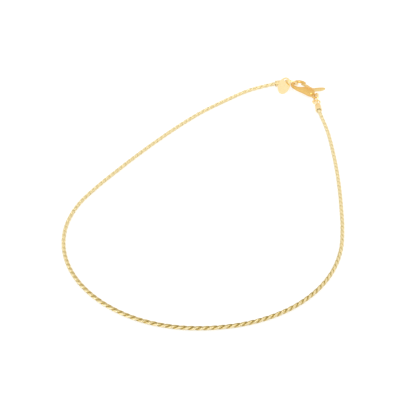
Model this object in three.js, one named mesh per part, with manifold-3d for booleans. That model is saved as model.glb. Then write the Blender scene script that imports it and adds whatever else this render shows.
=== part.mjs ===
// Gold rope chain necklace, fastened and laid down in an egg-shaped loop.
// Millimetres, +Z up. The table is z = 0 and the origin is the middle of the loop's box on it.

import * as THREE from 'three';
import { mergeVertices } from 'three/addons/utils/BufferGeometryUtils.js';
import Module from 'manifold-3d';

const wasm = await Module();
wasm.setup();

// ---------- Driving dimensions ----------

// Rope chain: one tube of the rope's outer size, eight sides with a flat one underneath.
const ROPE_DIAMETER = 1.45;
const ROPE_SIDES = 8;
const ROPE_STEPS = 80;
const ROPE_Z = ROPE_DIAMETER / 2;
const ROPE_SECTION_TURN = -0.704; // degrees, so that the lowest side lies level all round the loop

// End caps: a rolled lip, a barrel, a domed top and an eye of round wire.
const CAP_RADIUS = 1.2;
const CAP_LIP_RADIUS = 1.28;
const CAP_LIP_LENGTH = 0.55;
const CAP_LENGTH = 4.2;
const CAP_DOME_LENGTH = 0.9;
const CAP_BORE_RADIUS = 1.04;
const CAP_BORE_DEPTH = 2.1;
const CAP_GRIP = 1.8;
const CAP_SEGMENTS = 20;
const EYE_WIRE_RADIUS = 0.27;
const CATCH_EYE_HOLE = 0.95;
const CLASP_SIDE_EYE_HOLE = 0.7;

// Jump rings of round wire: the large catch ring, the clasp's own and a small flat link.
const RING_WIRE_RADIUS = 0.32;
const CATCH_RING_MEAN_RADIUS = 2.45;
const CLASP_RING_MEAN_RADIUS = 1.7;
const LINK_MEAN_RADIUS = 1.4;
const LINK_WIRE_RADIUS = 0.28;
const RING_SEGMENTS = 32;
const WIRE_SEGMENTS = 10;

// Tag: an oval plate with one hole, lying on a slope from the catch ring down to the table.
const TAG_LENGTH = 8.2;
const TAG_WIDTH = 4.7;
const TAG_THICKNESS = 0.4;
const TAG_HOLE_RADIUS = 0.8;
const TAG_HOLE_FROM_TOP = 1.4;

// Lobster clasp. Its own plan has u along the clasp from the claw to the eye and w towards the lever.
const CLASP_THICKNESS = 2.4;
const CLASP_BEVEL = 0.3;
const CLASP_Z = 1.75;
const CLAW_THINNING = 0.46;
const CLAW_CENTRE_U = 3.45;
const CLAW_OUTER_RADIUS = 3.25;
const CLAW_INNER_RADIUS = 1.95;
const CLASP_EYE_U = 13.6;
const CLASP_EYE_RADIUS = 1.45;
const CLASP_EYE_HOLE = 0.9;
const CLASP_EYE_THICKNESS = 0.8;
const PIVOT_U = 9.1;
const PIVOT_W = 0.5;
const PIN_RADIUS = 0.32;
const PIN_HEAD_RADIUS = 0.5;
const PIN_HEAD_HEIGHT = 0.12;
const PIN_BORE_RADIUS = 0.4;
const SLOT_HALF_HEIGHT = 0.7;
const LEVER_THICKNESS = 1.0;
const LEVER_BEVEL = 0.18;

// ---------- Places ----------

// The rope's centre line from the cap by the catch ring, round the loop, to the clasp's cap.
const ROUTE = [
  [29.72, 73.75, CAP_LIP_RADIUS],
  [26.83, 72.93, CAP_LIP_RADIUS],
  [17.3, 69.0, 0.79],
  [7.7, 61.3, 0.73],
  [-1.6, 52.7, ROPE_Z],
  [-9.9, 43.3, ROPE_Z],
  [-17.6, 33.5, ROPE_Z],
  [-25.0, 23.4, ROPE_Z],
  [-32.1, 13.1, ROPE_Z],
  [-38.9, 2.7, ROPE_Z],
  [-44.9, -8.3, ROPE_Z],
  [-48.2, -20.3, ROPE_Z],
  [-48.3, -32.8, ROPE_Z],
  [-45.3, -44.9, ROPE_Z],
  [-39.4, -55.9, ROPE_Z],
  [-30.9, -65.1, ROPE_Z],
  [-20.4, -71.8, ROPE_Z],
  [-8.4, -75.3, ROPE_Z],
  [4.1, -75.4, ROPE_Z],
  [16.2, -72.5, ROPE_Z],
  [27.2, -66.5, ROPE_Z],
  [36.1, -57.8, ROPE_Z],
  [42.5, -47.2, ROPE_Z],
  [46.3, -35.3, ROPE_Z],
  [47.8, -23.0, ROPE_Z],
  [48.3, -10.6, ROPE_Z],
  [48.5, 1.9, ROPE_Z],
  [48.3, 14.4, ROPE_Z],
  [47.7, 26.9, 0.73],
  [46.6, 39.5, 0.79],
  [44.37, 52.15, CAP_LIP_RADIUS],
  [44.07, 55.14, CAP_LIP_RADIUS],
];

const DEGREES = Math.PI / 180;
const CLASP_CLAW_END = new THREE.Vector3(35.3, 74.4, CLASP_Z);
const CLASP_HEADING = -54.7 * DEGREES;
const CATCH_RING_HEADING = -27 * DEGREES;
const CATCH_RING_LEAN = 44 * DEGREES;
const CATCH_RING_FROM_CLAW = 3.1;
const CLASP_RING_HEADING = -79 * DEGREES;
const CLASP_RING_LEAN = 20 * DEGREES;
const LINK_CENTRE = new THREE.Vector3(43.6, 59.68, 1.2);
const TAG_HEADING = -110 * DEGREES;
const TAG_ROLL = 10 * DEGREES;
const TAG_ABOVE_RING_CENTRE = 0.75;

// ---------- Solids ----------

// A geometry's triangles with shared corners merged, as a solid that can be joined and cut.
function solid(geometry) {
  const bare = geometry.clone();
  bare.deleteAttribute('normal');
  bare.deleteAttribute('uv');
  const merged = mergeVertices(bare, 1e-5);
  const vertProperties = new Float32Array(merged.attributes.position.array);
  const triVerts = new Uint32Array(merged.index.array);
  return new wasm.Manifold(new wasm.Mesh({ numProp: 3, vertProperties, triVerts }));
}

function geometryOf(body) {
  const mesh = body.getMesh();
  const geometry = new THREE.BufferGeometry();
  geometry.setAttribute('position', new THREE.BufferAttribute(new Float32Array(mesh.vertProperties), 3));
  geometry.setIndex(new THREE.BufferAttribute(new Uint32Array(mesh.triVerts), 1));
  geometry.computeVertexNormals();
  return geometry;
}

function joined(first, ...others) {
  return geometryOf(others.reduce((sum, geometry) => sum.add(solid(geometry)), solid(first)));
}

function cut(first, ...others) {
  return geometryOf(others.reduce((rest, geometry) => rest.subtract(solid(geometry)), solid(first)));
}

function gold(colour, roughness) {
  return new THREE.MeshStandardMaterial({ color: colour, roughness, metalness: 1 });
}

const CHAIN_GOLD = gold(0xe3c274, 0.24);
const CAP_GOLD = gold(0xe6c679, 0.26);
const RING_GOLD = gold(0xeacd84, 0.2);
const TAG_GOLD = gold(0xf0d68c, 0.3);
const CLASP_GOLD = gold(0xe0a548, 0.22);
const LEVER_GOLD = gold(0xe8c26c, 0.22);

function piece(name, geometry, material) {
  const mesh = new THREE.Mesh(geometry, material);
  mesh.name = name;
  return mesh;
}

// ---------- Rope ----------

const ropePath = new THREE.CatmullRomCurve3(
  ROUTE.map(([x, y, z]) => new THREE.Vector3(x, y, z)), false, 'catmullrom', 0.5);

function ropeChain() {
  const section = new THREE.Shape();
  const cornerRadius = ROPE_Z / Math.cos(Math.PI / ROPE_SIDES);
  for (let i = 0; i < ROPE_SIDES; i += 1) {
    const angle = (i + 0.5) * 2 * Math.PI / ROPE_SIDES + ROPE_SECTION_TURN * DEGREES;
    const corner = [cornerRadius * Math.cos(angle), cornerRadius * Math.sin(angle)];
    if (i === 0) section.moveTo(...corner);
    else section.lineTo(...corner);
  }
  section.closePath();
  const tube = new THREE.ExtrudeGeometry(section, { steps: ROPE_STEPS, extrudePath: ropePath });
  return piece('rope_chain', tube, CHAIN_GOLD);
}

// ---------- Rings ----------

// A torus whose hole's axis is the given direction.
function ringGeometry(centre, axis, meanRadius, wireRadius, segments = RING_SEGMENTS) {
  const geometry = new THREE.TorusGeometry(meanRadius, wireRadius, WIRE_SEGMENTS, segments);
  const turn = new THREE.Quaternion().setFromUnitVectors(new THREE.Vector3(0, 0, 1), axis);
  return geometry.applyQuaternion(turn).translate(centre.x, centre.y, centre.z);
}

const UP = new THREE.Vector3(0, 0, 1);

function heading(angle) {
  return new THREE.Vector3(Math.cos(angle), Math.sin(angle), 0);
}

// A jump ring stands on the table, with one level diameter along its heading, and leans to one side.
class JumpRing {
  constructor(meanRadius, angle, lean, leanSide) {
    this.meanRadius = meanRadius;
    this.along = heading(angle);
    this.side = heading(angle + leanSide * Math.PI / 2);
    this.rise = UP.clone().multiplyScalar(Math.cos(lean)).addScaledVector(this.side, Math.sin(lean));
    this.axis = this.along.clone().cross(this.rise);
    this.centre = new THREE.Vector3(0, 0, meanRadius * Math.cos(lean) + RING_WIRE_RADIUS);
    this.lean = lean;
  }

  // The wire's middle where it crosses a height, from the ring's centre, on one end or the other.
  offsetAt(height, end) {
    const up = (height - this.centre.z) / Math.cos(this.lean);
    const out = end * Math.sqrt(this.meanRadius ** 2 - up ** 2);
    return this.along.clone().multiplyScalar(out).addScaledVector(this.rise, up);
  }

  // The wire's direction there.
  tangentAt(height, end) {
    return this.axis.clone().cross(this.offsetAt(height, end)).normalize();
  }

  geometry() {
    return ringGeometry(this.centre, this.axis, this.meanRadius, RING_WIRE_RADIUS);
  }
}

// ---------- End caps ----------

// The cap's barrel along +Y from its mouth, closed by a dome.
function capBarrel() {
  const bore = CAP_BORE_DEPTH;
  const lipEnd = CAP_LIP_LENGTH;
  const domeStart = CAP_LENGTH - CAP_DOME_LENGTH;
  const profile = [
    [0, bore],
    [CAP_BORE_RADIUS, bore],
    [CAP_BORE_RADIUS, 0],
    [CAP_LIP_RADIUS - 0.1, 0],
    [CAP_LIP_RADIUS, 0.12],
    [CAP_LIP_RADIUS, lipEnd - 0.12],
    [CAP_RADIUS - 0.08, lipEnd],
    [CAP_RADIUS, lipEnd + 0.15],
    [CAP_RADIUS, domeStart],
  ];
  const domeSteps = 4;
  for (let i = 1; i <= domeSteps; i += 1) {
    const angle = i / domeSteps * Math.PI / 2;
    const radius = i === domeSteps ? 0 : CAP_RADIUS * Math.cos(angle);
    profile.push([radius, domeStart + CAP_DOME_LENGTH * Math.sin(angle)]);
  }
  return new THREE.LatheGeometry(profile.map(([r, y]) => new THREE.Vector2(r, y)), CAP_SEGMENTS);
}

// A cap gripping the rope's end, with its eye turned to suit the wire that passes through it.
function endCap(name, ropeEnd, outward, wireDirection, eyeHole) {
  const turn = new THREE.Quaternion().setFromUnitVectors(new THREE.Vector3(0, 1, 0), outward);
  const mouth = ropeEnd.clone().addScaledVector(outward, -CAP_GRIP);
  const barrel = capBarrel().applyQuaternion(turn).translate(mouth.x, mouth.y, mouth.z);
  const eyeCentre = mouth.clone().addScaledVector(outward, CAP_LENGTH + eyeHole);
  const eyeAxis = wireDirection.clone()
    .addScaledVector(outward, -wireDirection.dot(outward) * 0.9).normalize();
  const eye = ringGeometry(eyeCentre, eyeAxis, eyeHole + EYE_WIRE_RADIUS, EYE_WIRE_RADIUS, 24);
  return piece(name, joined(barrel, eye), CAP_GOLD);
}

// ---------- Tag ----------

// The plate's own plan has its hole's centre at the origin and runs down along -Y.
function tagGeometry() {
  const plate = new THREE.Shape();
  const middle = TAG_HOLE_FROM_TOP - TAG_LENGTH / 2;
  plate.absellipse(0, middle, TAG_WIDTH / 2, TAG_LENGTH / 2, 0, 2 * Math.PI);
  const hole = new THREE.Path();
  hole.absarc(0, 0, TAG_HOLE_RADIUS, 0, 2 * Math.PI, true);
  plate.holes.push(hole);
  return new THREE.ExtrudeGeometry(plate, { depth: TAG_THICKNESS, bevelEnabled: false, curveSegments: 18 })
    .translate(0, 0, -TAG_THICKNESS / 2);
}

function endTag(hole, angle) {
  const reach = TAG_LENGTH - TAG_HOLE_FROM_TOP;
  const drop = hole.z - TAG_THICKNESS / 2 - 0.05;
  const slope = Math.asin(drop / reach);
  const geometry = tagGeometry().rotateY(TAG_ROLL).rotateX(slope).rotateZ(angle + Math.PI / 2);
  return piece('end_tag', geometry.translate(hole.x, hole.y, hole.z), TAG_GOLD);
}

// ---------- Clasp ----------

// The claw and back: an open hook that runs into a solid neck.
function claspOutline() {
  const c = CLAW_CENTRE_U;
  const tip = 84 * DEGREES;
  const back = 262 * DEGREES;
  const outline = new THREE.Shape();
  outline.absarc(c, 0, CLAW_OUTER_RADIUS, tip, back, false);
  outline.bezierCurveTo(5.8, -3.1, 8.0, -1.9, 10.4, -1.6);
  outline.quadraticCurveTo(11.9, -1.45, 12.5, -0.8);
  outline.lineTo(12.5, 0.8);
  outline.quadraticCurveTo(11.9, 1.6, 11.0, 1.85);
  outline.quadraticCurveTo(9.3, 2.25, 7.9, 1.9);
  outline.quadraticCurveTo(7.3, 1.6, 7.1, 0.65);
  outline.quadraticCurveTo(6.9, -0.95, 5.7, -1.45);
  outline.quadraticCurveTo(4.65, -1.85,
    c + CLAW_INNER_RADIUS * Math.cos(back), CLAW_INNER_RADIUS * Math.sin(back));
  outline.absarc(c, 0, CLAW_INNER_RADIUS, back, tip, true);
  outline.closePath();
  return outline;
}

// A flat plate of the outline with rounded edges, centred on z = 0.
function roundedPlate(outline, thickness, bevel, curveSegments) {
  return new THREE.ExtrudeGeometry(outline, {
    depth: thickness - 2 * bevel,
    bevelEnabled: true,
    bevelThickness: bevel,
    bevelSize: bevel,
    bevelOffset: -bevel,
    bevelSegments: 2,
    curveSegments,
  }).translate(0, 0, -(thickness - 2 * bevel) / 2);
}

// The claw is thinner than the neck: heights shrink smoothly towards it.
function thinTowardsClaw(geometry) {
  const position = geometry.attributes.position;
  for (let i = 0; i < position.count; i += 1) {
    const share = THREE.MathUtils.smoothstep(position.getX(i), 2.6, 7.8);
    position.setZ(i, position.getZ(i) * THREE.MathUtils.lerp(CLAW_THINNING, 1, share));
  }
  return geometry;
}

function drum(radius, height, segments = 20) {
  return new THREE.CylinderGeometry(radius, radius, height, segments).rotateX(Math.PI / 2);
}

function claspBody() {
  const neck = thinTowardsClaw(roundedPlate(claspOutline(), CLASP_THICKNESS, CLASP_BEVEL, 10));
  const eye = drum(CLASP_EYE_RADIUS, CLASP_EYE_THICKNESS, 28).translate(CLASP_EYE_U, 0, 0);
  const eyeHole = drum(CLASP_EYE_HOLE, CLASP_THICKNESS * 2, 24).translate(CLASP_EYE_U, 0, 0);
  const slot = new THREE.BoxGeometry(5.3, 5, 2 * SLOT_HALF_HEIGHT).translate(8.6, PIVOT_W - 1.15 + 2.5, 0);
  const pinBore = drum(PIN_BORE_RADIUS, CLASP_THICKNESS * 2).translate(PIVOT_U, PIVOT_W, 0);
  return cut(joined(neck, eye), eyeHole, slot, pinBore);
}

// The gate and thumb tab, one bent plate on the pin.
function leverOutline() {
  const outline = new THREE.Shape();
  outline.moveTo(3.62, 1.45);
  outline.quadraticCurveTo(4.1, 1.65, 4.55, 2.05);
  outline.quadraticCurveTo(5.6, 2.7, 7.1, 2.6);
  outline.quadraticCurveTo(8.7, 2.45, 9.3, 3.5);
  outline.quadraticCurveTo(9.8, 5.0, 10.8, 6.5);
  outline.quadraticCurveTo(11.6, 7.2, 12.0, 6.4);
  outline.quadraticCurveTo(12.2, 4.7, 11.1, 3.2);
  outline.quadraticCurveTo(10.6, 2.5, 10.3, 1.1);
  outline.quadraticCurveTo(10.1, -0.25, 9.1, -0.4);
  outline.quadraticCurveTo(8.1, -0.35, 7.7, 0.65);
  outline.quadraticCurveTo(6.9, 1.6, 5.6, 1.45);
  outline.quadraticCurveTo(4.65, 1.2, 3.8, 0.85);
  outline.quadraticCurveTo(3.3, 1.0, 3.62, 1.45);
  return outline;
}

function claspLever() {
  const plate = roundedPlate(leverOutline(), LEVER_THICKNESS, LEVER_BEVEL, 6);
  return cut(plate, drum(PIN_BORE_RADIUS, CLASP_THICKNESS * 2).translate(PIVOT_U, PIVOT_W, 0));
}

// The pin with a low head at each end, clear of the cheeks.
function claspPin() {
  const half = CLASP_THICKNESS / 2 + 0.1;
  const profile = [
    [0, -half - PIN_HEAD_HEIGHT],
    [PIN_HEAD_RADIUS * 0.7, -half - PIN_HEAD_HEIGHT],
    [PIN_HEAD_RADIUS, -half],
    [PIN_RADIUS, -half],
    [PIN_RADIUS, half],
    [PIN_HEAD_RADIUS, half],
    [PIN_HEAD_RADIUS * 0.7, half + PIN_HEAD_HEIGHT],
    [0, half + PIN_HEAD_HEIGHT],
  ];
  return new THREE.LatheGeometry(profile.map(([r, y]) => new THREE.Vector2(r, y)), 18)
    .rotateX(Math.PI / 2).translate(PIVOT_U, PIVOT_W, 0);
}

function clasp() {
  const group = new THREE.Group();
  group.add(piece('clasp_body', claspBody(), CLASP_GOLD));
  group.add(piece('clasp_lever', claspLever(), LEVER_GOLD));
  group.add(piece('clasp_pin', claspPin(), CLASP_GOLD));
  group.position.copy(CLASP_CLAW_END);
  group.rotation.z = CLASP_HEADING;
  return group;
}

// A point of the clasp's plan in the necklace's own frame.
function onClasp(u, w) {
  return CLASP_CLAW_END.clone()
    .addScaledVector(heading(CLASP_HEADING), u)
    .addScaledVector(heading(CLASP_HEADING + Math.PI / 2), w);
}

// ---------- Assembly ----------

const catchRing = new JumpRing(CATCH_RING_MEAN_RADIUS, CATCH_RING_HEADING, CATCH_RING_LEAN, -1);
const clawCentre = onClasp(CLAW_CENTRE_U, 0);
catchRing.centre.x = clawCentre.x - CATCH_RING_FROM_CLAW * catchRing.along.x;
catchRing.centre.y = clawCentre.y - CATCH_RING_FROM_CLAW * catchRing.along.y;

const claspRing = new JumpRing(CLASP_RING_MEAN_RADIUS, CLASP_RING_HEADING, CLASP_RING_LEAN, 1);
const claspEye = onClasp(CLASP_EYE_U, 0);
const fromClaspEye = claspRing.offsetAt(CLASP_Z, -1);
claspRing.centre.x = claspEye.x - fromClaspEye.x;
claspRing.centre.y = claspEye.y - fromClaspEye.y;

const necklace = new THREE.Group();
necklace.add(ropeChain());

const startOut = ropePath.getTangentAt(0).negate();
const endOut = ropePath.getTangentAt(1);
const catchWire = catchRing.tangentAt(CAP_LIP_RADIUS, -1);
const linkWire = endOut.clone().cross(UP);
necklace.add(endCap('end_cap_catch', ropePath.getPoint(0), startOut, catchWire, CATCH_EYE_HOLE));
necklace.add(endCap('end_cap_clasp', ropePath.getPoint(1), endOut, linkWire, CLASP_SIDE_EYE_HOLE));

necklace.add(piece('catch_ring', catchRing.geometry(), RING_GOLD));
necklace.add(piece('clasp_ring', claspRing.geometry(), RING_GOLD));
const link = ringGeometry(LINK_CENTRE, UP, LINK_MEAN_RADIUS, LINK_WIRE_RADIUS, 28);
necklace.add(piece('link_ring', link, RING_GOLD));

const tagHeight = catchRing.centre.z + TAG_ABOVE_RING_CENTRE;
const tagHole = catchRing.centre.clone().add(catchRing.offsetAt(tagHeight, -1));
necklace.add(endTag(tagHole, TAG_HEADING));
necklace.add(clasp());

export default necklace;
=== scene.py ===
"""Gold rope chain necklace: wire links, end caps, jump rings, an oval tag and a lobster clasp."""
import math

import bmesh
import bpy
import numpy as np
from mathutils import Matrix, Vector


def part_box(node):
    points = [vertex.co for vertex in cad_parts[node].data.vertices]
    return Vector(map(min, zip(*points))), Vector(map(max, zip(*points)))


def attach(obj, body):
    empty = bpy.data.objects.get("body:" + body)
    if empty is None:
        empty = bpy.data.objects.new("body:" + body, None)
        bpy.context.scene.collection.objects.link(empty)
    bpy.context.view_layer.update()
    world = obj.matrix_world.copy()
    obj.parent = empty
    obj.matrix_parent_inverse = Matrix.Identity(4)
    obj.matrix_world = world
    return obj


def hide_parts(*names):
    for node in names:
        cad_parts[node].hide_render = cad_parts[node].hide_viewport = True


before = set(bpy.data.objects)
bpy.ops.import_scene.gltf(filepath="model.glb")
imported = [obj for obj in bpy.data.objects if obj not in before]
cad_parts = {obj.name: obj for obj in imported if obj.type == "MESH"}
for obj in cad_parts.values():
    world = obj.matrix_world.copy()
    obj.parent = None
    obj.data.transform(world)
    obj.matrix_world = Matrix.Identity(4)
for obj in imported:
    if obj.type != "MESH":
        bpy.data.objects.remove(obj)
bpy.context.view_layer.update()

MM = 0.001
UP = Vector((0, 0, 1))

# ---------- Camera ----------

CAMERA_TARGET = Vector((0.0011, -0.0094, 0.0))
CAMERA_DISTANCE = 0.5326
CAMERA_ELEVATION = math.radians(35.94)
CAMERA_LENS = 129.8
CAMERA_SENSOR = 36.0


def make_camera():
    """The camera, in front of the loop and level, looking down at the table."""
    data = bpy.data.cameras.new("camera")
    data.lens = CAMERA_LENS
    data.sensor_width = CAMERA_SENSOR
    data.clip_start = 0.01
    data.clip_end = 20.0
    camera = bpy.data.objects.new("camera", data)
    back = Vector((0, -math.cos(CAMERA_ELEVATION), math.sin(CAMERA_ELEVATION)))
    camera.location = CAMERA_TARGET + back * CAMERA_DISTANCE
    camera.rotation_mode = "QUATERNION"
    camera.rotation_quaternion = (-back).to_track_quat("-Z", "Y")
    bpy.context.collection.objects.link(camera)
    bpy.context.scene.camera = camera


make_camera()

# ---------- Sizes, in millimetres ----------

# The rope: two strands that wind round each other.
ROPE_RADIUS = 0.725
ROPE_END_GAP = 0.3
STRAND_LEAD = 4.9
TWIST_HAND = -1

# Each link is an oval ring of flattened wire, whose middle stands off from the rope's centre line.
LINK_SPACING = 0.105
LINK_OFFSET = 0.26
LINK_HEIGHT = 0.35
LINK_WIDTH = 0.46
LINK_TILT = math.radians(48)
LINK_OUTER_STEPS = 9
LINK_INNER_STEPS = 3
# The wire's section, from its middle: away from the link's centre, and across the link's plane.
WIRE_SECTION = [
    (0.13, -0.09), (0.13, 0.09), (0.02, 0.137),
    (-0.1, 0.08), (-0.1, -0.08), (0.02, -0.137),
]

# Painted shade, a deeper gold, begins in the grooves at this distance from the centre line and grows over
# this depth.
GROOVE_SHADE_TOP = 0.717
GROOVE_SHADE_DEPTH = 0.15
# The painted shade's strength at places along Y, strongest at the loop's round end.
GROOVE_SHADE_PLACES = (-60, -30, 30)
GROOVE_SHADE_STRENGTHS = (1, 0.5, 0.35)

# The end caps, from the mouth that grips the rope to the dome that carries the eye.
CAP_LIP_RADIUS = 1.28
CAP_LIP_ROUND = 0.14
CAP_LIP_HALF_LENGTH = 0.27
CAP_RADIUS = 1.2
CAP_LENGTH = 4.2
CAP_DOME_LENGTH = 0.9
CAP_BORE_RADIUS = 1.04
CAP_CRIMP_RADIUS = 0.78
CAP_BORE_DEPTH = 2.1
CAP_GRIP = 1.8
SCORED_LINES = (1.15, 1.45)
SCORE_DEPTH = 0.05
EYE_WIRE_RADIUS = 0.27
EYE_STEPS = 40
CAP_STEPS = 48
# How squarely an eye stands to its cap, where 1 is fully.
EYE_SQUARENESS = 0.9
CATCH_EYE_HOLE = 0.95
CLASP_SIDE_EYE_HOLE = 0.7

# The jump rings, of round wire.
RING_WIRE_RADIUS = 0.32
CATCH_RING_MEAN_RADIUS = 2.45
CLASP_RING_MEAN_RADIUS = 1.7
LINK_RING_MEAN_RADIUS = 1.4
LINK_RING_WIRE_RADIUS = 0.28
RING_CUT_WIDTH = 0.05
RING_CUT_ROUND = 0.05
RING_STEPS = 56
WIRE_SIDES = 14

# The tag's plate. Its turns are in degrees.
TAG_LENGTH = 8.2
TAG_WIDTH = 4.7
TAG_THICKNESS = 0.3
TAG_LOW_END_HEIGHT = 0.25
TAG_HOLE_RADIUS = 0.8
TAG_HOLE_FROM_TOP = 1.4
TAG_DOME = 0.18
TAG_EDGE = 0.09
TAG_TURN = -20
TAG_ROLL = 10
TAG_ABOVE_RING_CENTRE = 0.75
TAG_STEPS = 72
TAG_BANDS = 10

# The clasp, in its own plan: u runs from the claw to the eye, and w across it.
CLASP_HALF_THICKNESS = 1.2
CLAW_THINNING = 0.46
CLAW_CENTRE = 3.45
CLAW_OUTER_RADIUS = 3.25
CLAW_INNER_RADIUS = 1.95
CLASP_EYE_U = 13.6
CLASP_EYE_RADIUS = 1.45
CLASP_EYE_HOLE = 0.9
CLASP_EYE_THICKNESS = 0.8
CLASP_EYE_SIDES = 24
CLASP_EYE_STEPS = 56
CLASP_EYE_POWER = 0.75
PIVOT = (9.1, 0.5)
PIN_RADIUS = 0.32
PIN_HEAD_RADIUS = 0.5
PIN_HEAD_TOP = CLASP_HALF_THICKNESS + 0.22
PIN_HEAD_EDGE = CLASP_HALF_THICKNESS + 0.12
PIN_STEPS = 36
SLOT_HALF_HEIGHT = 0.7
SLOT_FLOOR = -0.65
# Where the slot would begin further across than this share of the width, there is none.
SLOT_LIMIT = 0.9

# The rope's centre line, from the cap by the catch ring, round the loop, to the clasp's cap. The
# caps lift its ends; in between it lies on the table.
LYING = [
    (-1.6, 52.7), (-9.9, 43.3), (-17.6, 33.5), (-25.0, 23.4), (-32.1, 13.1), (-38.9, 2.7),
    (-44.9, -8.3), (-48.2, -20.3), (-48.3, -32.8), (-45.3, -44.9), (-39.4, -55.9), (-30.9, -65.1),
    (-20.4, -71.8), (-8.4, -75.3), (4.1, -75.4), (16.2, -72.5), (27.2, -66.5), (36.1, -57.8),
    (42.5, -47.2), (46.3, -35.3), (47.8, -23.0), (48.3, -10.6), (48.5, 1.9), (48.3, 14.4),
]
ROUTE = np.array([
    (29.72, 73.75, CAP_LIP_RADIUS), (26.83, 72.93, CAP_LIP_RADIUS), (17.3, 69.0, 0.79), (7.7, 61.3, 0.73),
    *[(x, y, ROPE_RADIUS) for x, y in LYING],
    (47.7, 26.9, 0.73), (46.6, 39.5, 0.79), (44.37, 52.15, CAP_LIP_RADIUS), (44.07, 55.14, CAP_LIP_RADIUS),
])


def smooth_rows(rows, steps):
    """Many rows of numbers on a smooth curve through a few."""
    rows = np.array(rows, dtype=float)
    held = np.vstack([2 * rows[0] - rows[1], rows, 2 * rows[-1] - rows[-2]])
    t = np.linspace(0, 1, steps, endpoint=False)[:, None]
    stretches = []
    for a, b, c, d in zip(held, held[1:], held[2:], held[3:]):
        start, end = (c - a) / 2, (d - b) / 2
        stretches.append(b + start * t + (3 * (c - b) - 2 * start - end) * t ** 2
                         + (2 * (b - c) + start + end) * t ** 3)
    return np.vstack([*stretches, rows[-1:]])


class Route:
    """The smooth curve through the route's points, measured along its length.

    REACH is how far ahead and back the curve's direction is taken from.
    """

    STEPS = 48
    REACH = 0.25

    def __init__(self, points):
        self.places = smooth_rows(points, self.STEPS)
        steps = np.linalg.norm(np.diff(self.places, axis=0), axis=1)
        self.at = np.concatenate([[0], np.cumsum(steps)])
        self.length = self.at[-1]

    def place(self, s):
        """The point at each length."""
        return np.stack([np.interp(s, self.at, self.places[:, k]) for k in range(3)], axis=-1)

    def frames(self, s):
        """Centre, direction, left and up at each length."""
        along = self.place(s + self.REACH) - self.place(s - self.REACH)
        along /= np.linalg.norm(along, axis=1)[:, None]
        left = np.stack([-along[:, 1], along[:, 0], np.zeros(len(s))], axis=1)
        left /= np.linalg.norm(left, axis=1)[:, None]
        return self.place(s), along, left, np.cross(along, left)


route = Route(ROUTE)

# ---------- Materials ----------

# Where the polish's noise begins to show and shows fully.
CLOUD_RANGE = (0.35, 0.7)
MARK_RANGE = (0.3, 0.75)
# The most that the clouds turn a gold to its deeper tone.
CLOUD_SHARE = 0.15
# The marks' depth in metres, and how strongly they turn the light.
MARK_DEPTH = 0.00002
MARK_STRENGTH = 0.06


def surface_group():
    """Faint clouds and fine polishing marks, as two masks on the piece's own coordinates.

    Clouds is how many clouds there are to a metre, and Fineness how many times finer the marks are.
    """
    group = bpy.data.node_groups.new("hand_polish", "ShaderNodeTree")
    for name, default in (("Clouds", 900.0), ("Fineness", 4.0)):
        socket = group.interface.new_socket(name, in_out="INPUT", socket_type="NodeSocketFloat")
        socket.default_value = default
    for name in ("Cloud", "Marks"):
        group.interface.new_socket(name, in_out="OUTPUT", socket_type="NodeSocketFloat")
    nodes, links = group.nodes, group.links
    given = nodes.new("NodeGroupInput")
    out = nodes.new("NodeGroupOutput")
    place = nodes.new("ShaderNodeTexCoord")
    cloud = nodes.new("ShaderNodeTexNoise")
    cloud.inputs["Detail"].default_value = 3.0
    links.new(place.outputs["Object"], cloud.inputs["Vector"])
    links.new(given.outputs["Clouds"], cloud.inputs["Scale"])
    finer = nodes.new("ShaderNodeMath")
    finer.operation = "MULTIPLY"
    links.new(given.outputs["Clouds"], finer.inputs[0])
    links.new(given.outputs["Fineness"], finer.inputs[1])
    marks = nodes.new("ShaderNodeTexNoise")
    marks.inputs["Detail"].default_value = 2.0
    links.new(place.outputs["Object"], marks.inputs["Vector"])
    links.new(finer.outputs[0], marks.inputs["Scale"])
    links.new(cloud.outputs["Fac"], out.inputs["Cloud"])
    links.new(marks.outputs["Fac"], out.inputs["Marks"])
    return group


POLISH = surface_group()


def map_range(tree, value, start, end, to_start=0.0, to_end=1.0, smooth=False):
    """A value taken from one range to another."""
    node = tree.nodes.new("ShaderNodeMapRange")
    node.interpolation_type = "SMOOTHSTEP" if smooth else "LINEAR"
    node.inputs["From Min"].default_value = start
    node.inputs["From Max"].default_value = end
    node.inputs["To Min"].default_value = to_start
    node.inputs["To Max"].default_value = to_end
    tree.links.new(value, node.inputs["Value"])
    return node.outputs["Result"]


def linear(hex_colour):
    """A colour as the shader wants it, from its usual six figures."""
    parts = [int(hex_colour[i:i + 2], 16) / 255 for i in (0, 2, 4)]
    return (*[p / 12.92 if p <= 0.04045 else ((p + 0.055) / 1.055) ** 2.4 for p in parts], 1.0)


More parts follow.
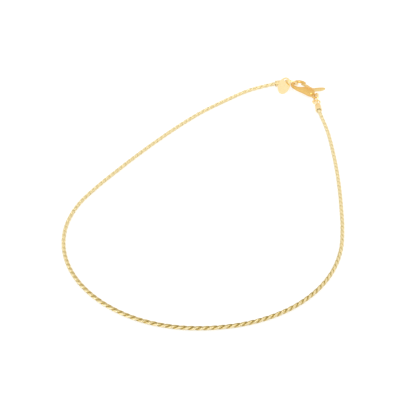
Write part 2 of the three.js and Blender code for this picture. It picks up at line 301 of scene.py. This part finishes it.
def gold(name, colour, deep, smooth, dull, clouds, fineness, groove_shade=None):
    """Polished gold: colour and deep are its two tones, smooth and dull the ends of its roughness.

    clouds and fineness are the polish's own. The last argument names a point attribute of painted
    shade, which brings out the deep tone in the grooves.
    """
    material = bpy.data.materials.new(name)
    material.use_nodes = True
    tree = material.node_tree
    nodes, links = tree.nodes, tree.links
    shader = nodes["Principled BSDF"]
    shader.inputs["Metallic"].default_value = 1.0
    polish = nodes.new("ShaderNodeGroup")
    polish.node_tree = POLISH
    polish.inputs["Clouds"].default_value = clouds
    polish.inputs["Fineness"].default_value = fineness
    tone = nodes.new("ShaderNodeMix")
    tone.data_type = "RGBA"
    tone.inputs["A"].default_value = linear(colour)
    tone.inputs["B"].default_value = linear(deep)
    share = map_range(tree, polish.outputs["Cloud"], *CLOUD_RANGE, to_end=CLOUD_SHARE)
    # The attribute's painted shade turns the base towards the deep tone in the grooves.
    if groove_shade:
        inside = nodes.new("ShaderNodeAttribute")
        inside.attribute_name = groove_shade
        most = nodes.new("ShaderNodeMath")
        most.operation = "MAXIMUM"
        links.new(share, most.inputs[0])
        links.new(inside.outputs["Fac"], most.inputs[1])
        share = most.outputs[0]
    links.new(share, tone.inputs["Factor"])
    links.new(tone.outputs["Result"], shader.inputs["Base Color"])
    rough = map_range(tree, polish.outputs["Marks"], *MARK_RANGE, smooth, dull)
    links.new(rough, shader.inputs["Roughness"])
    bump = nodes.new("ShaderNodeBump")
    bump.inputs["Strength"].default_value = MARK_STRENGTH
    bump.inputs["Distance"].default_value = MARK_DEPTH
    links.new(polish.outputs["Marks"], bump.inputs["Height"])
    links.new(bump.outputs["Normal"], shader.inputs["Normal"])
    return material


# Each gold's two tones, its smoothest and dullest roughness, and its clouds and their fineness.
# The links' deep tone also serves as painted shade in the grooves, through their point attribute.
LINK_GOLD = gold("link_gold", "F4E6BC", "B0952F", 0.08, 0.2, 900, 4, "groove_shade")
CAP_GOLD = gold("cap_gold", "EED8A6", "D8BA7C", 0.22, 0.34, 800, 5)
RING_GOLD = gold("ring_gold", "FAE5B0", "D8B468", 0.08, 0.2, 1000, 4)
TAG_GOLD = gold("tag_gold", "F6E1AE", "E9CC90", 0.13, 0.26, 500, 8)
CLASP_GOLD = gold("clasp_gold", "E2BB70", "BE9145", 0.1, 0.24, 600, 6)
LEVER_GOLD = gold("lever_gold", "E5CB8E", "C7A45E", 0.1, 0.24, 700, 6)
PIN_GOLD = gold("pin_gold", "E6BF78", "B9904E", 0.1, 0.22, 1200, 4)

# ---------- Making pieces ----------


def shown(name, mesh, material, body, slot, *nodes):
    """A finished mesh as a piece that rides on a body and stands for a CAD node."""
    piece = bpy.data.objects.new(name, mesh)
    bpy.context.collection.objects.link(piece)
    mesh.materials.append(material)
    mesh.shade_smooth()
    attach(piece, body)
    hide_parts(*nodes)
    return piece


def to_mesh(name, bm, place):
    """A bmesh in millimetres, put in its place, as a mesh in metres."""
    bmesh.ops.transform(bm, matrix=Matrix.Scale(MM, 4) @ place, verts=bm.verts)
    bmesh.ops.recalc_face_normals(bm, faces=bm.faces)
    mesh = bpy.data.meshes.new(name)
    bm.to_mesh(mesh)
    bm.free()
    return mesh


def creased(mesh, degrees):
    """Marks the edges that turn more than an angle as sharp."""
    mesh.set_sharp_from_angle(angle=math.radians(degrees))
    return mesh


def turned_to(axis, centre):
    """The turn that takes +Z to an axis and the origin to a centre."""
    return Matrix.Translation(centre) @ UP.rotation_difference(axis).to_matrix().to_4x4()


def spun(profile, steps):
    """A round solid about Z from a profile of (radius, height) points."""
    bm = bmesh.new()
    points = [bm.verts.new((radius, 0, height)) for radius, height in profile]
    edges = [bm.edges.new(pair) for pair in zip(points, points[1:])]
    bmesh.ops.spin(bm, geom=points + edges, cent=(0, 0, 0), axis=UP, angle=2 * math.pi, steps=steps,
                   use_merge=True)
    bmesh.ops.remove_doubles(bm, verts=bm.verts, dist=0.001)
    return bm


# ---------- Rope ----------


def wire_link():
    """One closed wire link with a flattened outer face.

    +X points out of the rope and +Y runs along its outer edge. The outer half has the finer steps,
    because the inner half is hidden in the rope.
    """
    bm = bmesh.new()
    rim = [bm.verts.new((0, -LINK_HEIGHT - out, across)) for out, across in WIRE_SECTION]
    edges = [bm.edges.new(pair) for pair in zip(rim, rim[1:] + rim[:1])]
    around = {"cent": (0, 0, 0), "axis": UP, "angle": math.pi}
    half = bmesh.ops.spin(bm, geom=rim + edges, steps=LINK_OUTER_STEPS, **around)
    end = [item for item in half["geom_last"] if not isinstance(item, bmesh.types.BMFace)]
    bmesh.ops.spin(bm, geom=end, steps=LINK_INNER_STEPS, **around)
    bmesh.ops.remove_doubles(bm, verts=bm.verts, dist=0.001)
    bmesh.ops.scale(bm, vec=(1, LINK_WIDTH / LINK_HEIGHT, 1), verts=bm.verts)
    return to_mesh("wire_link", bm, Matrix())


def strand_mesh(name, link, lengths, side):
    """Copies of the link along a stretch of the rope, whose outer edges make one strand."""
    centre, along, left, up = route.frames(lengths)
    turn = TWIST_HAND * 2 * np.pi * lengths / STRAND_LEAD
    cos, sin = np.cos(turn)[:, None], np.sin(turn)[:, None]
    out = side * (cos * left + sin * up)
    beside = side * (cos * up - sin * left)
    slant = math.sin(LINK_TILT) * along - TWIST_HAND * math.cos(LINK_TILT) * beside
    turns = np.stack([out, slant, np.cross(out, slant)], axis=2)
    bm = bmesh.new()
    for place, rotation in zip((centre + LINK_OFFSET * out) * MM, turns):
        copy = link.copy()
        copy.transform(Matrix.Translation(place) @ Matrix(rotation).to_4x4())
        bm.from_mesh(copy)
        bpy.data.meshes.remove(copy)
    mesh = bpy.data.meshes.new(name)
    bm.to_mesh(mesh)
    bm.free()
    paint_groove_shade(mesh, centre, along)
    return mesh


def paint_groove_shade(mesh, centre, along):
    """Stores painted shade at each point: 0 on the strands' tops, up to 1 at the grooves' bottom, scaled by
    place along Y.
    """
    points = np.empty(3 * len(mesh.vertices))
    mesh.vertices.foreach_get("co", points)
    from_middle = points.reshape(len(centre), -1, 3) / MM - centre[:, None]
    ahead = np.einsum("ijk,ik->ij", from_middle, along)
    radius = np.sqrt(np.maximum((from_middle ** 2).sum(axis=2) - ahead ** 2, 0))
    # The painted shade's strength at each link's place along Y.
    shade_strength = np.interp(centre[:, 1], GROOVE_SHADE_PLACES, GROOVE_SHADE_STRENGTHS)[:, None]
    depth = np.clip((GROOVE_SHADE_TOP - radius) / GROOVE_SHADE_DEPTH, 0, 1) * shade_strength
    groove_shade = mesh.attributes.new("groove_shade", "FLOAT", "POINT")
    groove_shade.data.foreach_set("value", depth.ravel())


def make_rope():
    """Both strands, each in two halves of the loop so that no piece grows too heavy."""
    first, last = ROPE_END_GAP, route.length - ROPE_END_GAP
    lengths = np.linspace(first, last, 4 * round((last - first) / (4 * LINK_SPACING)))
    link = wire_link()
    for strand, side, own in (("first", 1, lengths[::2]), ("second", -1, lengths[1::2])):
        middle = len(own) // 2
        for half, part in (("left", own[:middle]), ("right", own[middle:])):
            name = f"rope_strand_{strand}_{half}"
            mesh = strand_mesh(name, link, part, side)
            shown(name, mesh, LINK_GOLD, "necklace", "chain_gold", "rope_chain")
    bpy.data.meshes.remove(link)


make_rope()

# ---------- Places of the fastening ----------


def heading(degrees):
    """A level direction, from its angle to +X."""
    return Vector((math.cos(math.radians(degrees)), math.sin(math.radians(degrees)), 0))


class JumpRing:
    """A ring that stands on the table, with one level diameter at an angle, and leans to one side."""

    def __init__(self, mean_radius, angle, lean, lean_side):
        self.mean_radius = mean_radius
        self.lean = math.radians(lean)
        self.along = heading(angle)
        side = heading(angle + lean_side * 90)
        self.rise = UP * math.cos(self.lean) + side * math.sin(self.lean)
        self.axis = self.along.cross(self.rise)
        self.height = mean_radius * math.cos(self.lean) + RING_WIRE_RADIUS

    def offset_at(self, height, end):
        """From the ring's centre to the wire's middle at a height, on one end or the other."""
        up = (height - self.height) / math.cos(self.lean)
        return self.along * (end * math.sqrt(self.mean_radius ** 2 - up ** 2)) + self.rise * up


# The claw's outer end, and the angle at which the clasp lies.
CLASP_PLACE = Vector((35.3, 74.4, 1.75))
CLASP_HEADING = -54.7
CLASP_TURN = Matrix.Translation(CLASP_PLACE) @ Matrix.Rotation(math.radians(CLASP_HEADING), 4, "Z")

catch_ring = JumpRing(CATCH_RING_MEAN_RADIUS, angle=-27, lean=44, lean_side=-1)
clasp_ring = JumpRing(CLASP_RING_MEAN_RADIUS, angle=-79, lean=20, lean_side=1)


def middle_of(node):
    """The middle of a CAD node's box, in millimetres."""
    low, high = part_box(node)
    return (Vector(low) + Vector(high)) / 2 / MM


# ---------- Caps, rings and tag ----------


def wire_ring(mean_radius, wire_radius, cut_at):
    """Round wire bent to a ring about Z, with the fine cut where its ends meet at an angle in degrees."""
    bm = bmesh.new()
    gap = RING_CUT_WIDTH / mean_radius
    made = bmesh.ops.create_circle(bm, segments=WIRE_SIDES, radius=wire_radius, cap_ends=True)
    start = (Matrix.Rotation(math.radians(cut_at) + gap / 2, 4, "Z") @ Matrix.Translation((mean_radius, 0, 0))
             @ Matrix.Rotation(math.pi / 2, 4, "X"))
    bmesh.ops.transform(bm, matrix=start, verts=made["verts"])
    # The first disc closes one end. Its copy is swept round and closes the other.
    swept = bmesh.ops.duplicate(bm, geom=list(bm.faces))["geom"]
    faces = [item for item in swept if isinstance(item, bmesh.types.BMFace)]
    bmesh.ops.spin(bm, geom=faces, cent=(0, 0, 0), axis=UP, angle=2 * math.pi - gap, steps=RING_STEPS)
    bmesh.ops.remove_doubles(bm, verts=bm.verts, dist=0.0005)
    bmesh.ops.recalc_face_normals(bm, faces=bm.faces)
    ends = [edge for edge in bm.edges if edge.is_manifold and edge.calc_face_angle() > math.radians(60)]
    bmesh.ops.bevel(bm, geom=ends, offset=RING_CUT_ROUND, segments=2, profile=0.5, affect="EDGES",
                    material=-1)
    return bm


def make_ring(name, ring, mean_radius, wire_radius, axis, cut_at):
    """A jump ring in the place of a CAD ring."""
    bm = wire_ring(mean_radius, wire_radius, cut_at)
    mesh = creased(to_mesh(name, bm, turned_to(axis, middle_of(ring))), 50)
    shown(name, mesh, RING_GOLD, "necklace", "ring_gold", ring)


def cap_profile():
    """Half of the cap's section: bore, rolled lip, waist, barrel with two scored lines, dome."""
    bore = [(0, CAP_BORE_DEPTH), (CAP_BORE_RADIUS, CAP_BORE_DEPTH), (CAP_BORE_RADIUS, 0.4)]
    crimp = [(CAP_CRIMP_RADIUS, 0.2), (CAP_CRIMP_RADIUS, 0.06), (CAP_CRIMP_RADIUS + 0.06, 0)]
    waist = [(CAP_RADIUS - 0.08, 0.6), (CAP_RADIUS - 0.03, 0.7), (CAP_RADIUS, 0.78)]
    points = bore + crimp
    for angle in np.radians(np.linspace(-75, 75, 9)):
        points.append((CAP_LIP_RADIUS - CAP_LIP_ROUND * (1 - math.cos(angle)),
                       CAP_LIP_HALF_LENGTH * (1 + math.sin(angle))))
    points += waist
    for line in SCORED_LINES:
        points += [(CAP_RADIUS, line), (CAP_RADIUS - SCORE_DEPTH, line + SCORE_DEPTH),
                   (CAP_RADIUS, line + 2 * SCORE_DEPTH)]
    dome_start = CAP_LENGTH - CAP_DOME_LENGTH
    for angle in np.radians(np.arange(0, 90, 9)):
        points.append((CAP_RADIUS * math.cos(angle), dome_start + CAP_DOME_LENGTH * math.sin(angle)))
    return points + [(0, CAP_LENGTH)]


def make_cap(node, rope_end, outward, wire_direction, eye_hole):
    """A cap gripping the rope's end, and its eye turned to suit the wire that passes through it."""
    mouth = rope_end - outward * CAP_GRIP
    barrel = creased(to_mesh(node + "_barrel", spun(cap_profile(), CAP_STEPS), turned_to(outward, mouth)), 40)
    shown(node + "_barrel", barrel, CAP_GOLD, "necklace", "cap_gold", node)
    axis = (wire_direction - outward * (wire_direction.dot(outward) * EYE_SQUARENESS)).normalized()
    bm = bmesh.new()
    made = bmesh.ops.create_circle(bm, segments=WIRE_SIDES, radius=EYE_WIRE_RADIUS)
    start = (Matrix.Translation((eye_hole + EYE_WIRE_RADIUS, 0, 0))
             @ Matrix.Rotation(math.pi / 2, 4, "X"))
    bmesh.ops.transform(bm, matrix=start, verts=made["verts"])
    bmesh.ops.spin(bm, geom=list(bm.verts) + list(bm.edges), cent=(0, 0, 0), axis=UP, angle=2 * math.pi,
                   steps=EYE_STEPS, use_merge=True)
    eye = to_mesh(node + "_eye", bm, turned_to(axis, mouth + outward * (CAP_LENGTH + eye_hole)))
    shown(node + "_eye", eye, CAP_GOLD, "necklace", "cap_gold", node)


def make_tag():
    """An oval plate with one hole, slightly domed, on a slope from the catch ring down to the table."""
    bm = bmesh.new()
    rim = bmesh.ops.create_circle(bm, segments=TAG_STEPS, radius=1)["verts"]
    middle = TAG_HOLE_FROM_TOP - TAG_LENGTH / 2
    for vert in rim:
        vert.co = Vector((vert.co.x * TAG_WIDTH / 2, vert.co.y * TAG_LENGTH / 2 + middle, 0))
    rim_edges = list(bm.edges)
    hole = bmesh.ops.create_circle(bm, segments=TAG_STEPS, radius=TAG_HOLE_RADIUS)["verts"]
    hole_edges = list({edge for vert in hole for edge in vert.link_edges})
    bmesh.ops.bridge_loops(bm, edges=rim_edges + hole_edges)
    spokes = [edge for edge in bm.edges if edge not in rim_edges and edge not in hole_edges]
    bmesh.ops.subdivide_edges(bm, edges=spokes, cuts=TAG_BANDS - 1, use_grid_fill=True)
    for vert in bm.verts:
        share = (vert.co.x / (TAG_WIDTH / 2)) ** 2 + ((vert.co.y - middle) / (TAG_LENGTH / 2)) ** 2
        vert.co.z = TAG_DOME * (1 - share)
    hangs_at = catch_ring.height + TAG_ABOVE_RING_CENTRE
    hole_place = middle_of("catch_ring") + catch_ring.offset_at(hangs_at, -1)
    slope = math.asin((hole_place.z - TAG_LOW_END_HEIGHT) / (TAG_LENGTH - TAG_HOLE_FROM_TOP))
    place = (Matrix.Translation(hole_place) @ Matrix.Rotation(math.radians(TAG_TURN), 4, "Z")
             @ Matrix.Rotation(slope, 4, "X") @ Matrix.Rotation(math.radians(TAG_ROLL), 4, "Y"))
    mesh = to_mesh("end_tag_plate", bm, place)
    tag = shown("end_tag_plate", mesh, TAG_GOLD, "necklace", "tag_gold", "end_tag")
    thick = tag.modifiers.new("thickness", "SOLIDIFY")
    thick.thickness = TAG_THICKNESS * MM
    thick.offset = 0
    edge = tag.modifiers.new("rounded_edge", "BEVEL")
    edge.width = TAG_EDGE * MM
    edge.segments = 3
    edge.limit_method = "ANGLE"
    edge.angle_limit = math.radians(50)


# ---------- Clasp ----------

SECTION_POINTS = 26
RUNG_STEPS = 5
NOSE_ANGLES = np.radians([25, 45, 62, 78])
# How far the noses at the two ends stand out, in section widths.
BODY_NOSES = (0.4, 0.12)
GATE_NOSES = (0.35, 0.35)
# The most of the half height that the slot takes up, and the rounded inner side where there is none.
SLOTTED_SHARE = 0.97
ROUNDED_SHARE = 0.6


def squared(value, power):
    """A sine or cosine pushed outwards or inwards, which squares or sharpens the oval it draws."""
    return math.copysign(abs(value) ** power, value)


def section(outer, inner, half_height, fullness, floor=None):
    """The points of one section between two edges of the plan.

    fullness is the power of the rounded section: 2 is an oval and 4 nearly a box. floor is how far
    from the outer edge the slot in the inner side begins. Without one that side is rounded too.
    """
    outer, inner = Vector((*outer, 0)), Vector((*inner, 0))
    across = (inner - outer) / 2
    centre = (inner + outer) / 2
    open_at = min(SLOT_HALF_HEIGHT / half_height, ROUNDED_SHARE if floor is None else SLOTTED_SHARE)
    first = math.asin(open_at ** (fullness / 2))
    points = []
    for angle in np.linspace(first, 2 * math.pi - first, SECTION_POINTS):
        share = squared(math.cos(angle), 2 / fullness)
        height = squared(math.sin(angle), 2 / fullness)
        points.append(centre + across * share + UP * (half_height * height))
    if floor is None:
        low = math.sin(first / 3) ** (2 / fullness) * half_height
        depth = centre + across * (math.cos(first / 3) ** (2 / fullness))
    else:
        low = half_height * open_at
        depth = outer + (inner - outer) * floor
    return points + [depth - UP * low, depth + UP * low]


def lofted(sections, reaches):
    """A closed skin over the sections, with a rounded nose of some reach at each end."""
    bm = bmesh.new()
    ends = ((sections[0], sections[1], reaches[0]), (sections[-1], sections[-2], reaches[1]))
    noses = []
    for rim, near, share in ends:
        centre = sum(rim, Vector()) / len(rim)
        away = (centre - sum(near, Vector()) / len(near)).normalized()
        reach = share * (rim[0] - rim[SECTION_POINTS // 2]).length
        nose = []
        for angle in NOSE_ANGLES:
            out = away * (reach * math.sin(angle))
            nose.append([centre + (point - centre) * math.cos(angle) + out for point in rim])
        noses.append(nose)
    loops = []
    for row in noses[0][::-1] + list(sections) + noses[1]:
        rim = [bm.verts.new(point) for point in row]
        loops.append([bm.edges.new(pair) for pair in zip(rim, rim[1:] + rim[:1])])
    for one, two in zip(loops, loops[1:]):
        bmesh.ops.bridge_loops(bm, edges=one + two)
    bmesh.ops.holes_fill(bm, edges=loops[0] + loops[-1])
    bmesh.ops.recalc_face_normals(bm, faces=bm.faces)
    return bm


def claw_rung(degrees, full=2.3):
    """A rung across the claw's round hook."""
    c, s = math.cos(math.radians(degrees)), math.sin(math.radians(degrees))
    return (CLAW_CENTRE + CLAW_OUTER_RADIUS * c, CLAW_OUTER_RADIUS * s,
            CLAW_CENTRE + CLAW_INNER_RADIUS * c, CLAW_INNER_RADIUS * s,
            CLASP_HALF_THICKNESS * CLAW_THINNING, full)


# A rung crosses the plan: its outer u and w, its inner u and w, half its height, and its fullness.
# The body's rungs run from the claw's tip, round the hook and along the back to the eye.
BODY_RUNGS = [claw_rung(angle) for angle in range(86, 252, 15)] + [
    (3.3, -3.24, 3.25, -1.95, 0.6, 2.3),
    (4.5, -3.12, 4.3, -1.8, 0.74, 2.4),
    (5.8, -2.76, 5.45, -1.5, 0.95, 2.6),
    (6.75, -2.42, 6.35, -0.75, 1.08, 3.0),
    (7.5, -2.16, 6.95, 0.2, 1.17, 3.4),
    (8.2, -1.98, 7.3, 1.2, 1.2, 3.8),
    (8.9, -1.84, 8.2, 1.95, 1.2, 4.0),
    (9.6, -1.71, 9.5, 2.04, 1.2, 4.0),
    (10.4, -1.6, 10.6, 1.9, 1.2, 4.0),
    (11.2, -1.48, 11.35, 1.7, 1.17, 3.6),
    (11.9, -1.2, 12.0, 1.25, 1.05, 3.2),
    (12.35, -0.85, 12.4, 0.88, 0.85, 2.8),
]
SLOT_FROM, SLOT_TO = 6.45, 11.25
# The lever's rungs run from the gate's nose, past the pin, to the end of the thumb tab.
LEVER_RUNGS = [
    (3.5, 1.6, 3.72, 1.05, 0.4, 2.4),
    (4.5, 2.14, 4.75, 1.25, 0.47, 2.8),
    (5.6, 2.5, 5.7, 1.46, 0.5, 3.4),
    (6.9, 2.6, 6.75, 1.32, 0.5, 3.6),
    (8.0, 2.62, 7.7, 0.65, 0.5, 4.0),
    (8.9, 3.0, 8.4, -0.16, 0.5, 4.0),
    (9.25, 3.4, 9.55, -0.36, 0.5, 4.0),
    (9.5, 4.1, 10.25, 1.0, 0.5, 4.0),
    (9.9, 5.05, 10.9, 2.85, 0.5, 3.6),
    (10.35, 5.85, 11.6, 4.1, 0.5, 3.2),
    (10.8, 6.5, 11.98, 5.3, 0.48, 2.8),
    (11.2, 6.82, 12.02, 6.1, 0.42, 2.5),
]


def slot_floor(outer, inner):
    """How far from the outer edge towards the inner one the fork's slot begins, or None outside it."""
    middle = (outer[0] + inner[0]) / 2
    if not SLOT_FROM < middle < SLOT_TO:
        return None
    share = (SLOT_FLOOR - outer[1]) / (inner[1] - outer[1])
    return share if share < SLOT_LIMIT else None


def body_sections():
    """The clasp body's sections, with the slot's end walls as pairs of sections a hair apart."""
    hair = np.array([0.01, 0])
    sections = []
    last = None
    for row in smooth_rows(BODY_RUNGS, RUNG_STEPS):
        outer, inner, height, full = row[0:2], row[2:4], row[4], row[5]
        floor = slot_floor(outer, inner)
        if (floor is None) != (last is None):
            sections.append(section(outer - hair, inner - hair, height, full, last))
        sections.append(section(outer, inner, height, full, floor))
        last = floor
    return sections


def make_casting():
    """The claw, back and fork in one casting, and its eye."""
    body = creased(to_mesh("clasp_casting", lofted(body_sections(), BODY_NOSES), CLASP_TURN), 42)
    shown("clasp_casting", body, CLASP_GOLD, "necklace", "clasp_gold", "clasp_body")

    half = CLASP_EYE_THICKNESS / 2
    tube = (CLASP_EYE_RADIUS - CLASP_EYE_HOLE) / 2
    mean = CLASP_EYE_HOLE + tube
    profile = [(mean + tube * squared(math.cos(angle), CLASP_EYE_POWER),
                half * squared(math.sin(angle), CLASP_EYE_POWER))
               for angle in np.linspace(0, 2 * math.pi, CLASP_EYE_SIDES, endpoint=False)]
    place = CLASP_TURN @ Matrix.Translation((CLASP_EYE_U, 0, 0))
    eye = to_mesh("clasp_eye", spun(profile + profile[:1], CLASP_EYE_STEPS), place)
    shown("clasp_eye", eye, CLASP_GOLD, "necklace", "clasp_gold", "clasp_body")


def make_gate():
    """The lever: the gate that shuts the claw, bent up at the pin into the thumb tab."""
    rows = smooth_rows(LEVER_RUNGS, RUNG_STEPS)
    bm = lofted([section(row[0:2], row[2:4], row[4], row[5]) for row in rows], GATE_NOSES)
    gate = creased(to_mesh("clasp_gate", bm, CLASP_TURN), 42)
    shown("clasp_gate", gate, LEVER_GOLD, "lever", "lever_gold", "clasp_lever")


def make_rivet():
    """The pin, with a low domed head seated on each cheek of the fork."""
    head = [(PIN_RADIUS, CLASP_HALF_THICKNESS), (PIN_HEAD_RADIUS, CLASP_HALF_THICKNESS),
            (PIN_HEAD_RADIUS, PIN_HEAD_EDGE)]
    for angle in np.radians([20, 40, 60, 75]):
        head.append((PIN_HEAD_RADIUS * math.cos(angle),
                     PIN_HEAD_EDGE + (PIN_HEAD_TOP - PIN_HEAD_EDGE) * math.sin(angle)))
    head.append((0, PIN_HEAD_TOP))
    profile = [(radius, -height) for radius, height in head[::-1]] + head
    place = CLASP_TURN @ Matrix.Translation((*PIVOT, 0))
    pin = creased(to_mesh("clasp_rivet", spun(profile, PIN_STEPS), place), 40)
    shown("clasp_rivet", pin, PIN_GOLD, "necklace", "clasp_gold", "clasp_pin")


def make_fastening():
    """Everything between the rope's two ends."""
    along = route.frames(np.array([ROPE_END_GAP, route.length - ROPE_END_GAP]))[1]
    start_out, end_out = -Vector(along[0]), Vector(along[1])
    catch_wire = catch_ring.axis.cross(catch_ring.offset_at(CAP_LIP_RADIUS, -1)).normalized()
    make_cap("end_cap_catch", Vector(ROUTE[0]), start_out, catch_wire, CATCH_EYE_HOLE)
    make_cap("end_cap_clasp", Vector(ROUTE[-1]), end_out, end_out.cross(UP), CLASP_SIDE_EYE_HOLE)
    make_ring("catch_ring_wire", "catch_ring", CATCH_RING_MEAN_RADIUS, RING_WIRE_RADIUS, catch_ring.axis, 60)
    make_ring("clasp_ring_wire", "clasp_ring", CLASP_RING_MEAN_RADIUS, RING_WIRE_RADIUS, clasp_ring.axis, 100)
    make_ring("link_ring_wire", "link_ring", LINK_RING_MEAN_RADIUS, LINK_RING_WIRE_RADIUS, UP, 20)
    make_tag()
    make_casting()
    make_gate()
    make_rivet()


make_fastening()

# ---------- Floor and light ----------

FLOOR_HALF_WIDTH = 1.5
FLOOR_DROP = 0.00002
FLOOR_COLOUR = (0.42, 0.42, 0.42, 1)
# The floor's own glow, from front to back along Y.
GLOW_FROM, GLOW_FULL = -0.062, -0.02
GLOW_FRONT, GLOW_BACK = 0.62, 0.66

CARD_SIZE = (0.074, 0.066)
CARD_PLACE = (0.006, -0.055, 0.035)
CARD_CURVE = 12.5
CARD_COLOUR = (0.42, 0.37, 0.14, 1)

# The light round the piece. A side is the direction of a patch of light, and an edge the cosines
# of the angles from it where the patch begins and where it is full.
TENT_COLOUR = (1.1, 1.09, 1.06, 1)
ROOM_SIDE = (0.06, 0.985, 0.16)
ROOM_EDGE = (0.6, 0.95)
ROOM_COLOUR = (1.12, 0.97, 0.8, 1)
LAMP_SIDE = (-0.1, -0.82, 0.56)
LAMP_EDGE = (0.945, 0.98)
LAMP_COLOUR = (4.6, 4.55, 4.4, 1)


def staged(name, bm, colour):
    """A floor or card beside the piece, with a material that can glow."""
    mesh = bpy.data.meshes.new(name)
    bm.to_mesh(mesh)
    bm.free()
    thing = bpy.data.objects.new(name, mesh)
    bpy.context.collection.objects.link(thing)
    material = bpy.data.materials.new(name)
    material.use_nodes = True
    mesh.materials.append(material)
    shader = material.node_tree.nodes["Principled BSDF"]
    shader.inputs["Base Color"].default_value = colour
    shader.inputs["Emission Strength"].default_value = 1.0
    return thing, material.node_tree, shader


def make_floor():
    """A white table that glows faintly, a little less in front."""
    bm = bmesh.new()
    bmesh.ops.create_grid(bm, x_segments=1, y_segments=1, size=FLOOR_HALF_WIDTH)
    floor, tree, shader = staged("floor", bm, FLOOR_COLOUR)
    floor.location.z = -FLOOR_DROP
    shader.inputs["Roughness"].default_value = 0.9
    place = tree.nodes.new("ShaderNodeTexCoord")
    part = tree.nodes.new("ShaderNodeSeparateXYZ")
    tree.links.new(place.outputs["Object"], part.inputs[0])
    glow = map_range(tree, part.outputs["Y"], GLOW_FROM, GLOW_FULL, GLOW_FRONT, GLOW_BACK, smooth=True)
    tree.links.new(glow, shader.inputs["Emission Color"])


def make_card():
    """A dim card close above the front of the loop, bent to follow it, that only the metal mirrors."""
    bm = bmesh.new()
    bmesh.ops.create_grid(bm, x_segments=24, y_segments=1, size=0.5)
    bmesh.ops.scale(bm, vec=(*CARD_SIZE, 1), verts=bm.verts)
    for vert in bm.verts:
        vert.co.y += CARD_CURVE * vert.co.x ** 2
    bmesh.ops.translate(bm, vec=CARD_PLACE, verts=bm.verts)
    card, _, shader = staged("dim_card", bm, (0, 0, 0, 1))
    card.visible_camera = False
    card.visible_diffuse = False
    card.visible_shadow = False
    shader.inputs["Emission Color"].default_value = CARD_COLOUR


def make_world():
    """A white tent, a warmer room behind the piece and a soft lamp in front of it."""
    world = bpy.data.worlds.new("tent")
    bpy.context.scene.world = world
    world.use_nodes = True
    tree = world.node_tree
    nodes, links = tree.nodes, tree.links
    place = nodes.new("ShaderNodeTexCoord")
    colour = None
    for side, edge, shade in ((ROOM_SIDE, ROOM_EDGE, ROOM_COLOUR), (LAMP_SIDE, LAMP_EDGE, LAMP_COLOUR)):
        towards = nodes.new("ShaderNodeVectorMath")
        towards.operation = "DOT_PRODUCT"
        towards.inputs[1].default_value = side
        links.new(place.outputs["Generated"], towards.inputs[0])
        patch = nodes.new("ShaderNodeMix")
        patch.data_type = "RGBA"
        patch.inputs["A"].default_value = TENT_COLOUR
        patch.inputs["B"].default_value = shade
        if colour:
            links.new(colour, patch.inputs["A"])
        links.new(map_range(tree, towards.outputs["Value"], *edge, smooth=True), patch.inputs["Factor"])
        colour = patch.outputs["Result"]
    links.new(colour, nodes["Background"].inputs["Color"])
    nodes["Background"].inputs["Strength"].default_value = 1.0


make_floor()
make_card()
make_world()
bpy.context.scene.view_settings.view_transform = "Standard"
